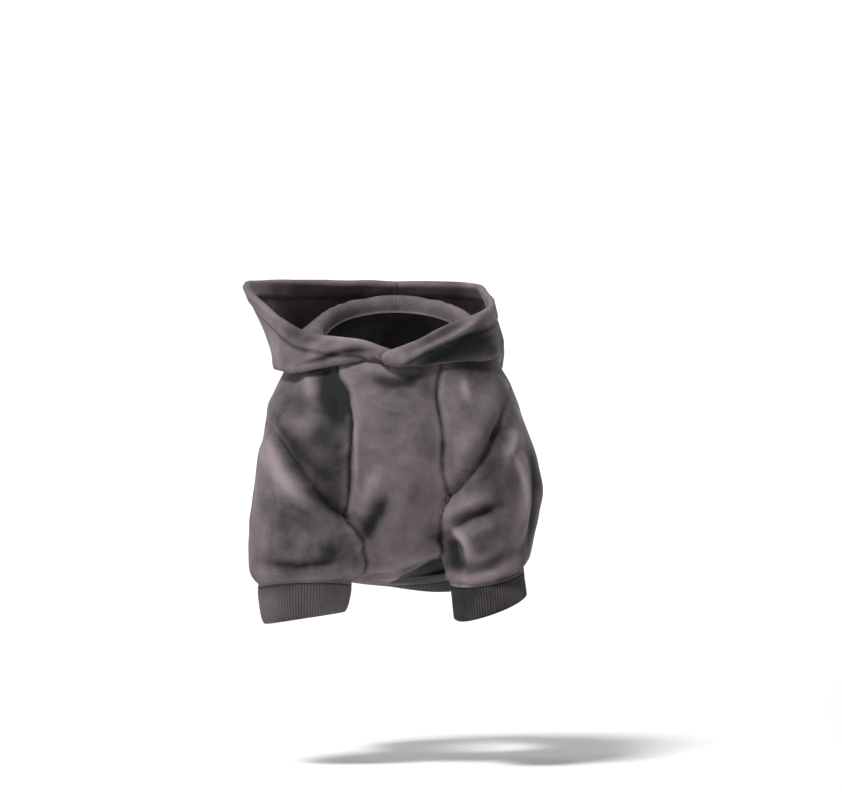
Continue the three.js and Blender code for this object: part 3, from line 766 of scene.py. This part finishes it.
def sunk_seams(points, normals, tone, line):
    """Sinks cloth into its seam lines and puffs it up beside them, with painted shade in the grooves
    and a painted highlight on the puffs.
    """
    distance = distances(points, line) / SEAM_WIDTH
    groove = bell(distance, 1)
    puff = bell(distance - 2.6, 1.5)
    moved = points + normals * (SEAM_PUFF * puff - SEAM_DEPTH * groove)[:, None]
    return moved, tone + 0.15 * puff - 0.5 * groove


def wall_at(vert, tree, wall):
    """A wall's thickness at a point, less where the cloth doubles back close behind it."""
    skin = 0.05
    nearest = 0.3
    start = vert.co - vert.normal * skin
    _, _, _, behind = tree.ray_cast(start, -vert.normal, 2 * wall)
    if behind is None:
        return wall
    return max(min(wall, nearest * behind), skin)


def shell(bm, wall):
    """Thickens an open mesh inwards into a closed one."""
    bm.normal_update()
    tree = BVHTree.FromBMesh(bm)
    tone_layer = bm.verts.layers.float["tone"]
    outer_faces = [list(face.verts) for face in bm.faces]
    open_edges = [edge for edge in bm.edges if edge.is_boundary]
    sides = []
    for edge in open_edges:
        loop = edge.link_loops[0]
        sides.append((loop.vert, loop.link_loop_next.vert))
    inner = {}
    for vert in list(bm.verts):
        made = bm.verts.new(vert.co - vert.normal * wall_at(vert, tree, wall))
        # The inner wall gets painted shade.
        made[tone_layer] = INSIDE_PAINTED_SHADE
        inner[vert] = made
    for verts in outer_faces:
        bm.faces.new([inner[vert] for vert in reversed(verts)])
    for start, end in sides:
        bm.faces.new([end, start, inner[start], inner[end]])


def finished(name, bm, material):
    """Turns a mesh in millimetres into a named piece that takes its CAD node's place."""
    tone_layer = bm.verts.layers.float["tone"]
    tones = [vert[tone_layer] for vert in bm.verts]
    mesh = bpy.data.meshes.new(name)
    bmesh.ops.scale(bm, vec=(METRES,) * 3, verts=bm.verts)
    bm.to_mesh(mesh)
    bm.free()
    # The tones, which are painted light and shade, go onto the points for the material.
    attribute = mesh.attributes.new("painted_light_and_shade", "FLOAT", "POINT")
    attribute.data.foreach_set("value", tones)
    mesh.shade_smooth()
    mesh.materials.append(material)
    piece = bpy.data.objects.new(name, mesh)
    bpy.context.scene.collection.objects.link(piece)
    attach(piece, "root")
    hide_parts(name.removesuffix("_cloth").removesuffix("_knit"))
    return piece


def layered(middle, normals, half_out, half_in, tone, closed):
    """A closed mesh round a middle layer, given as a grid, with its outer and inner walls."""
    rows, columns = middle.shape[:2]
    outer = (middle + normals * half_out[..., None]).reshape(-1, 3)
    inner = (middle - normals * half_in[..., None]).reshape(-1, 3)
    count = rows * columns
    faces = grid_faces(rows, columns, closed).tolist()
    faces += [[count + k for k in reversed(face)] for face in faces]
    across = columns if closed else columns - 1
    for j in range(across):
        next_j = (j + 1) % columns
        faces.append([next_j, j, count + j, count + next_j])
        low = (rows - 1) * columns
        faces.append([low + j, low + next_j, count + low + next_j, count + low + j])
    if not closed:
        for i in range(rows - 1):
            first = i * columns
            below = first + columns
            faces.append([first, below, count + below, count + first])
            end = first + columns - 1
            faces.append([end + columns, end, count + end, count + end + columns])
    bm = bmesh.new()
    tone_layer = bm.verts.layers.float.new("tone")
    verts = []
    for point, light in zip(np.concatenate([outer, inner]), np.concatenate([tone.ravel()] * 2)):
        vert = bm.verts.new(point)
        vert[tone_layer] = light
        verts.append(vert)
    for face in faces:
        bm.faces.new([verts[k] for k in face])
    bmesh.ops.remove_doubles(bm, verts=bm.verts, dist=0.01)
    bmesh.ops.dissolve_degenerate(bm, edges=bm.edges, dist=0.001)
    return bm


# Materials
PLUSH_DARK = (0.012, 0.013, 0.014)
PLUSH_LIGHT = (0.235, 0.192, 0.214)
RIB_DARK = (0.013, 0.012, 0.014)
RIB_LIGHT = (0.13, 0.112, 0.124)


def node(tree, kind, **values):
    made = tree.nodes.new(kind)
    for name, value in values.items():
        if name in made.inputs:
            made.inputs[name].default_value = value
        else:
            setattr(made, name, value)
    return made


def math_node(tree, operation, first, second):
    made = tree.nodes.new("ShaderNodeMath")
    made.operation = operation
    for socket, value in zip(made.inputs, (first, second)):
        if isinstance(value, (int, float)):
            socket.default_value = value
        else:
            tree.links.new(value, socket)
    return made.outputs[0]


def weighted(tree, base, *parts):
    """A base plus sockets, each times its weight."""
    level = base
    for socket, weight in parts:
        level = math_node(tree, "ADD", math_node(tree, "MULTIPLY", socket, weight), level)
    return level


def noise_on_cloth(tree, **values):
    made = node(tree, "ShaderNodeTexNoise", **values)
    tree.links.new(node(tree, "ShaderNodeTexCoord").outputs["Object"], made.inputs["Vector"])
    return made.outputs["Fac"]


def painted_light_and_shade_input(tree):
    """The painted light and shade that each mesh carries, as a value on its points."""
    return node(tree, "ShaderNodeAttribute", attribute_name="painted_light_and_shade").outputs["Fac"]


def cloth_material(name, sheen, sheen_roughness, sheen_tint):
    made = bpy.data.materials.new(name)
    made.use_nodes = True
    shader = made.node_tree.nodes["Principled BSDF"]
    shader.inputs["Sheen Weight"].default_value = sheen
    shader.inputs["Sheen Roughness"].default_value = sheen_roughness
    shader.inputs["Sheen Tint"].default_value = (*sheen_tint, 1)
    shader.inputs["Specular IOR Level"].default_value = 0.15
    return made, made.node_tree, shader


def coloured(tree, shader, level, start, end, interpolation="LINEAR"):
    """Colours cloth by its level. The start and the end each hold a level and a colour."""
    ramp = node(tree, "ShaderNodeValToRGB")
    ramp.color_ramp.interpolation = interpolation
    for element, (position, colour) in zip(ramp.color_ramp.elements, (start, end)):
        element.position = position
        element.color = (*colour, 1)
    tree.links.new(level, ramp.inputs["Fac"])
    tree.links.new(ramp.outputs["Color"], shader.inputs["Base Color"])


def bumped(tree, shader, height, strength, distance):
    bump = node(tree, "ShaderNodeBump", Strength=strength, Distance=distance)
    tree.links.new(height, bump.inputs["Height"])
    tree.links.new(bump.outputs["Normal"], shader.inputs["Normal"])


def plush_material():
    """Short pile whose colour shifts in soft patches, and with the painted light and shade that each
    mesh carries along its folds, seams and hollows.
    """
    made, tree, shader = cloth_material("plush", 0.22, 0.3, (0.62, 0.55, 0.60))
    patches = noise_on_cloth(tree, Scale=38, Detail=3, Roughness=0.55, Distortion=0.6)
    mottle = noise_on_cloth(tree, Scale=130, Detail=4, Roughness=0.6)
    pile = noise_on_cloth(tree, Scale=1500, Detail=2, Roughness=0.7)
    level = weighted(tree, -0.04, (patches, 0.6), (mottle, 0.25), (painted_light_and_shade_input(tree), 0.42), (pile, 0.2))
    coloured(tree, shader, level, (0.0, PLUSH_DARK), (1.0, PLUSH_LIGHT), "EASE")
    tree.links.new(weighted(tree, 0.72, (mottle, 0.2)), shader.inputs["Roughness"])
    bumped(tree, shader, pile, strength=0.35, distance=0.0004)
    return made


def rib_material():
    """Matt knitted rib: fine stitches in the ribs, which the mesh makes."""
    made, tree, shader = cloth_material("rib_knit", 0.14, 0.5, (0.6, 0.55, 0.6))
    patches = noise_on_cloth(tree, Scale=60, Detail=3, Roughness=0.5)
    yarn = noise_on_cloth(tree, Scale=900, Detail=2, Roughness=0.6)
    # The mesh's painted light and shade lighten the ribs and darken the knit between them.
    level = weighted(tree, 0.0, (patches, 0.6), (painted_light_and_shade_input(tree), 0.4), (yarn, 0.25))
    coloured(tree, shader, level, (0.1, RIB_DARK), (0.9, RIB_LIGHT))
    tree.links.new(weighted(tree, 0.8, (yarn, 0.15)), shader.inputs["Roughness"])
    bumped(tree, shader, yarn, strength=0.4, distance=0.0003)
    return made


plush = plush_material()
rib = rib_material()


# The body: torso and sleeves, each with its folds


def sculpt_torso(points, normals, place, angle):
    settled = smooth(LAST_TORSO - place)
    front, front_tone = folded(points, normals, CHEST_FOLDS, -1)
    back, back_tone = folded(points, normals, BACK_FOLDS, 1)
    uneven = crumpled(points, TORSO_WAVES)
    moved = normals * (settled * (front + back + uneven))[..., None]
    # the hollow's painted shade joins the folds' painted light and shade
    hollow, shade = belly_hollow(points, normals)
    moved[..., 1] += settled * hollow
    return moved, front_tone + back_tone + shade


def sculpt_sleeve(folds, phase):
    def sculpt(points, normals, place, angle):
        front, tone = folded(points, normals, folds, -1)
        uneven = crumpled(points + phase, SLEEVE_WAVES)
        pucker = np.cos(13 * angle + phase) + 0.7 * np.cos(21 * angle + 2 * phase)
        gathers = GATHER_HEIGHT * pucker * bell(LAST_SLEEVE - GATHER_PLACE - place, GATHER_REACH)
        settled = smooth(place / 0.5) * smooth((LAST_SLEEVE - place) / 1.2)
        return normals * (settled * (front + uneven + gathers))[..., None], tone

    return sculpt


def run_on(places, last):
    """Places that also run past both ends, for a body that other cloth is measured against."""
    return np.concatenate([[-OVERRUN, -OVERRUN / 2], places, [last + OVERRUN / 2, last + OVERRUN]])


def sleeve_cloth(surface, folds, phase):
    """A sleeve's grid with its tones, and its body."""
    angles = np.linspace(0, 2 * math.pi, ROUND_POINTS, endpoint=False)
    places = even_places(surface, LAST_SLEEVE, CLOTH_STEP)
    lip = LAST_SLEEVE - LIP_ROWS
    places = np.concatenate([places[places < lip], np.linspace(lip, LAST_SLEEVE, LIP_STEPS)])
    sculpt = sculpt_sleeve(folds, phase)
    grid, tone = cloth_grid(surface, places, angles, sculpt)
    at_lip = smooth((places - LAST_SLEEVE + 1.5 * LIP_ROWS) / LIP_ROWS)
    longer, _ = cloth_grid(surface, run_on(places, LAST_SLEEVE), angles, sculpt)
    return relaxed(grid, at_lip), tone, closed_body(longer)


left_sleeve = sleeve(1, LEFT_SLEEVE)
right_sleeve = sleeve(-1, RIGHT_SLEEVE)
torso_places = even_places(torso, LAST_TORSO, CLOTH_STEP)
side_angle = math.acos(2 * SIDE_SEAM_SHARE - 1)
chest_angles = np.linspace(-side_angle, side_angle, CHEST_POINTS)
back_angles = np.linspace(side_angle, 2 * math.pi - side_angle, BACK_POINTS)
all_angles = np.concatenate([chest_angles[:-1], back_angles[:-1]])
chest_grid, chest_tone = cloth_grid(torso, torso_places, chest_angles, sculpt_torso)
back_grid, back_tone = cloth_grid(torso, torso_places, back_angles, sculpt_torso)
longer_torso, _ = cloth_grid(torso, run_on(torso_places, LAST_TORSO), all_angles, sculpt_torso)
torso_body = closed_body(longer_torso)
left_grid, left_tone, left_body = sleeve_cloth(left_sleeve, LEFT_SLEEVE_FOLDS, LEFT_PHASE)
right_grid, right_tone, right_body = sleeve_cloth(right_sleeve, RIGHT_SLEEVE_FOLDS, RIGHT_PHASE)


def sewn_piece(name, grid, tone, closed, others):
    """A plush piece cut where it enters its neighbours, with its seams and its wall."""
    rows, columns = grid.shape[:2]
    points = grid.reshape(-1, 3)
    normals = grid_normals(grid, closed).reshape(-1, 3)
    height = np.full(len(points), 1e3)
    for body in others:
        above, other_normals = body.heights(points)
        points = swell_into(points, normals, above, other_normals)
        height = np.minimum(height, above)
    swollen = points.reshape(grid.shape)
    normals = grid_normals(swollen, closed).reshape(-1, 3)
    line = seam_points(swollen, height.reshape(rows, columns), closed)
    points, tone = sunk_seams(points, normals, tone.ravel(), line)
    bm = clipped(points, grid_faces(rows, columns, closed), tone, height + SEAM_TUCK)
    shell(bm, PLUSH_WALL)
    return finished(name, bm, plush)


sewn_piece("chest_panel_cloth", chest_grid, chest_tone, False, [left_body, right_body])
sewn_piece("back_panel_cloth", back_grid, back_tone, False, [left_body, right_body])
sewn_piece("sleeve_left_cloth", left_grid, left_tone, True, [torso_body])
sewn_piece("sleeve_right_cloth", right_grid, right_tone, True, [torso_body])


# The knitted bands


def band_piece(name, surface, end, rows, length, girth, painted_lightness, length_at, skew=0):
    """A band with upright ribs. Its two functions give, at an angle, its painted light or shade and its
    length.
    """
    ribs = int(girth / RIB_PITCH)
    angles = np.linspace(0, 2 * math.pi, RIB_POINTS * ribs, endpoint=False)
    first = -(SEAM_GAP + BAND_TUCK) / length / rows["along"][1]
    places = np.concatenate([[first, first / 2], np.linspace(0, LAST_BAND, BAND_STEPS)])
    place, angle = np.meshgrid(places, angles, indexing="ij")
    knitted = band(surface, end, rows, length, length_at, skew)
    normals = normal_at(knitted, place, angle)
    middle = knitted(place, angle) + normals * RIB_WALL / 2
    share = place / LAST_BAND
    at_edge = rounded(1 - share, EDGE_SHARE)
    at_seam = rounded(share, SEWN_SHARE)
    half = RIB_WALL / 2 * at_edge * (THIN_SHARE + (1 - THIN_SHARE) * at_seam)
    ridge = np.abs(np.cos(ribs * angle / 2)) ** RIB_ROUNDNESS
    outer = half + RIB_HEIGHT * (ridge - 1) * at_edge - BAND_SINK * (1 - at_seam)
    # A painted highlight on each rib, painted shade between the ribs and where the band runs under the
    # plush, on top of the band's own painted light or shade.
    tone = painted_lightness(angle) + 0.6 * ridge - 0.3 - 0.3 * (1 - at_seam)
    bm = layered(middle, normals, outer, half, tone, True)
    return finished(name, bm, rib)


def cuff_length(sign, run, slant, tip):
    return lambda angle: run * (1 + slant * sign * np.sin(angle) + tip * np.cos(angle))


# Painted shade on the waistband, darkest at its front, whose underside faces away from the light.
def waist_painted_shade(angle):
    return -0.2 - 0.9 * np.maximum(np.cos(angle), 0)


# Painted shade: the left cuff, away from the key light, is painted darker, and it changes across the
# cuff with the angle.
def left_cuff_painted_shade(angle):
    return -0.7 + 0.45 * np.sin(angle)


# Painted light: the right cuff, towards the key light, is painted lighter, most of all at its sides.
def right_cuff_painted_light(angle):
    return 0.4 - 0.2 * np.cos(2 * angle)


left_length = cuff_length(1, 0.98, -0.16, -0.06)
right_length = cuff_length(-1, 0.92, 0.15, 0.25)
waist = (torso, LAST_TORSO, WAISTBAND, WAISTBAND_WIDTH, WAIST_GIRTH)
left_end = (left_sleeve, LAST_SLEEVE, LEFT_CUFF, CUFF_LENGTH, LEFT_CUFF_GIRTH)
right_end = (right_sleeve, LAST_SLEEVE, RIGHT_CUFF, CUFF_LENGTH, RIGHT_CUFF_GIRTH)
band_piece("waistband_knit", *waist, waist_painted_shade, np.ones_like, BAND_SKEW)
band_piece("cuff_left_knit", *left_end, left_cuff_painted_shade, left_length)
band_piece("cuff_right_knit", *right_end, right_cuff_painted_light, right_length)


# The hood


def folded_hood(sign, rows, folds, pinch, from_front):
    """A half's middle layer with its folds, and its normals and tones, from its front end back."""
    grid = hood_profiles(sign, rows, HOOD_ACROSS, HOOD_DOWN)
    front_middle = grid[:, :1, 2] + FRONT_LIFT
    grid[..., 2] = front_middle + (grid[..., 2] - front_middle) * (1 - pinch * (1 - from_front))
    grid[-1, :, 0] = 0
    normals = sign * grid_normals(grid, False)
    normals[-1, :, 0] = 0
    normals = unit(normals)
    push, tone = folded(grid, normals, folds, -1)
    uneven = crumpled(grid + HOOD_PHASE, HOOD_WAVES)
    from_seam = np.linspace(0, 1, HOOD_DOWN + 1)[None, :]
    from_middle = np.linspace(1, 0, HOOD_ACROSS)[:, None]
    loose = smooth(from_seam / 0.12) * smooth(from_middle / 0.03)
    return grid + normals * (loose * (push + uneven))[..., None], normals, tone


def lengths_to_rim(grid):
    lengths = np.linalg.norm(np.diff(grid, axis=1), axis=-1)
    return np.concatenate([np.cumsum(lengths[:, ::-1], 1)[:, ::-1], np.zeros((len(grid), 1))], 1)


def laid_over(grid, bodies, free):
    """Lifts fallen cloth off the bodies that it lies on, where free is above 0."""
    gap = PLUSH_WALL / 2 + SEAM_GAP
    flat = grid.reshape(-1, 3)
    neck_back, neck_chest, _, _ = torso_section(np.zeros(1))
    forward = unit(neck_chest - neck_back)[0]
    up = np.array([0, forward[2], -forward[1]])
    for body in bodies:
        height, other_normals = body.heights(flat)
        fallen = (flat - neck_back[0]) @ up < 0
        rise = np.where(fallen & (height < gap) & (height > -2 * PLUSH_WALL), gap - height, 0)
        flat = flat + other_normals * (free.ravel() * rise)[:, None]
    return flat.reshape(grid.shape)


def hood_piece(name, sign, rows, folds, bodies, pinch):
    columns = np.linspace(0, 1, HOOD_ACROSS)
    from_front = smooth(columns[:, None] / HOOD_TAPER)
    grid, normals, tone = folded_hood(sign, rows, folds, pinch, from_front)
    to_rim = lengths_to_rim(grid)
    from_seam = to_rim[:, :1] - to_rim
    away = away_from_front(row_at(rows, columns * LAST_HOOD)["angle"])
    tape = NECK_TAPE * away[:, None] * (1 - smooth((from_seam - NECK_TAPE_WIDTH) / 3))
    grid = laid_over(grid, bodies, smooth((from_seam - NECK_TAPE_WIDTH - 1) / 4))
    below_seam = smooth(3 * np.linspace(0, 1, HOOD_DOWN + 1)[None, :])
    hem = smooth((HOOD_HEM - to_rim) / 2) * below_seam
    wall = PLUSH_WALL + (HEM_WALL - PLUSH_WALL) * hem
    at_rim = rounded(to_rim, HEM_WALL / 2)
    stitched = bell(to_rim - HOOD_HEM, 1.2)
    middle_seam = bell(np.abs(grid[..., 0]), SEAM_WIDTH) * (grid[..., 1] > 0)
    half = wall / 2 * at_rim - STITCH_DEPTH * stitched - MIDDLE_SEAM_DEPTH * middle_seam * at_rim
    half = half * (THIN_SHARE + (1 - THIN_SHARE) * from_front)
    # Painted shade along the stitched groove that holds the hem, and a painted highlight along the rim.
    tone = tone - 0.5 * stitched + 0.25 * bell(to_rim - 1.5, 2)
    if sign < 0:
        turned = (values[::-1] for values in (grid, normals, half, tone, tape))
        grid, normals, half, tone, tape = turned
    bm = layered(grid, normals, half, half + tape, tone, False)
    return finished(name, bm, plush)


body_parts = [torso_body, left_body, right_body]
hood_piece("hood_right_cloth", -1, RIGHT_HOOD, RIGHT_HOOD_FOLDS, body_parts, 0)
hood_piece("hood_left_cloth", 1, LEFT_HOOD, LEFT_HOOD_FOLDS, body_parts, FRONT_PINCH)


# Camera, floor and light, in metres
CAMERA_DISTANCE = 3.2
FRONT_DEPTH = 0.06  # how far in front of the origin the frame's width is true
SENSOR_WIDTH = 36
FLOOR_HALF = 4.0
FLOOR_BEND = 0.8  # radius in which the floor bends up into a wall
FLOOR_COLOUR = (0.86, 0.86, 0.86, 1)
WORLD_STRENGTH = 0.1
PULLOVER = (0, 0, -0.08)
WALL = (0, 4, 0.3)

# Each light's name, place, size, power and target
LIGHTS = [
    ("key", (-0.7, -1.3, 1.9), 0.5, 70, PULLOVER),
    ("side", (-2.0, -0.9, 0.3), 0.8, 12, PULLOVER),
    ("fill", (1.6, -1.6, 0.3), 1.2, 3, PULLOVER),
    ("backdrop_left", (-1.8, 2.2, 2.2), 1.6, 60, WALL),
    ("backdrop_right", (1.8, 2.2, 2.2), 1.6, 60, WALL),
]


def placed(name, data):
    made = bpy.data.objects.new(name, data)
    bpy.context.scene.collection.objects.link(made)
    return made


def add_camera():
    pixel = MM_PER_PIXEL * METRES
    x = (FRAME_WIDTH / 2 - MIDDLE_PIXEL[0]) * pixel
    z = -(FRAME_HEIGHT / 2 - MIDDLE_PIXEL[1]) * pixel
    data = bpy.data.cameras.new("camera")
    data.sensor_width = SENSOR_WIDTH
    data.lens = SENSOR_WIDTH * (CAMERA_DISTANCE - FRONT_DEPTH) / (FRAME_WIDTH * pixel)
    data.clip_end = 30
    camera = placed("camera", data)
    camera.location = (x, -CAMERA_DISTANCE, z)
    camera.rotation_euler = (math.radians(90), 0, 0)
    bpy.context.scene.camera = camera


def add_floor():
    """A plain floor that bends up into a wall."""
    pale = bpy.data.materials.new("pale_floor")
    pale.use_nodes = True
    shader = pale.node_tree.nodes["Principled BSDF"]
    shader.inputs["Base Color"].default_value = FLOOR_COLOUR
    shader.inputs["Roughness"].default_value = 0.9
    turns = np.linspace(0, math.pi / 2, 12)
    foot = FLOOR_HALF - FLOOR_BEND
    steps = [(foot + FLOOR_BEND * math.sin(turn), FLOOR_BEND * (1 - math.cos(turn))) for turn in turns]
    steps = [(-FLOOR_HALF, 0), *steps, (FLOOR_HALF, FLOOR_HALF)]
    verts = [(side * FLOOR_HALF, y, FLOOR_Z * METRES + rise) for y, rise in steps for side in (-1, 1)]
    faces = [(2 * k, 2 * k + 1, 2 * k + 3, 2 * k + 2) for k in range(len(steps) - 1)]
    mesh = bpy.data.meshes.new("floor")
    mesh.from_pydata(verts, [], faces)
    mesh.materials.append(pale)
    placed("floor", mesh)


def add_light(name, place, size, power, target):
    data = bpy.data.lights.new(name, "AREA")
    data.energy = power
    data.size = size
    lamp = placed(name, data)
    lamp.location = place
    lamp.rotation_euler = (Vector(target) - Vector(place)).to_track_quat("-Z", "Y").to_euler()


add_camera()
add_floor()
for lamp_values in LIGHTS:
    add_light(*lamp_values)
world = bpy.data.worlds.new("world")
world.use_nodes = True
world.node_tree.nodes["Background"].inputs["Color"].default_value = (1, 1, 1, 1)
world.node_tree.nodes["Background"].inputs["Strength"].default_value = WORLD_STRENGTH
bpy.context.scene.world = world
bpy.context.scene.view_settings.view_transform = "Standard"
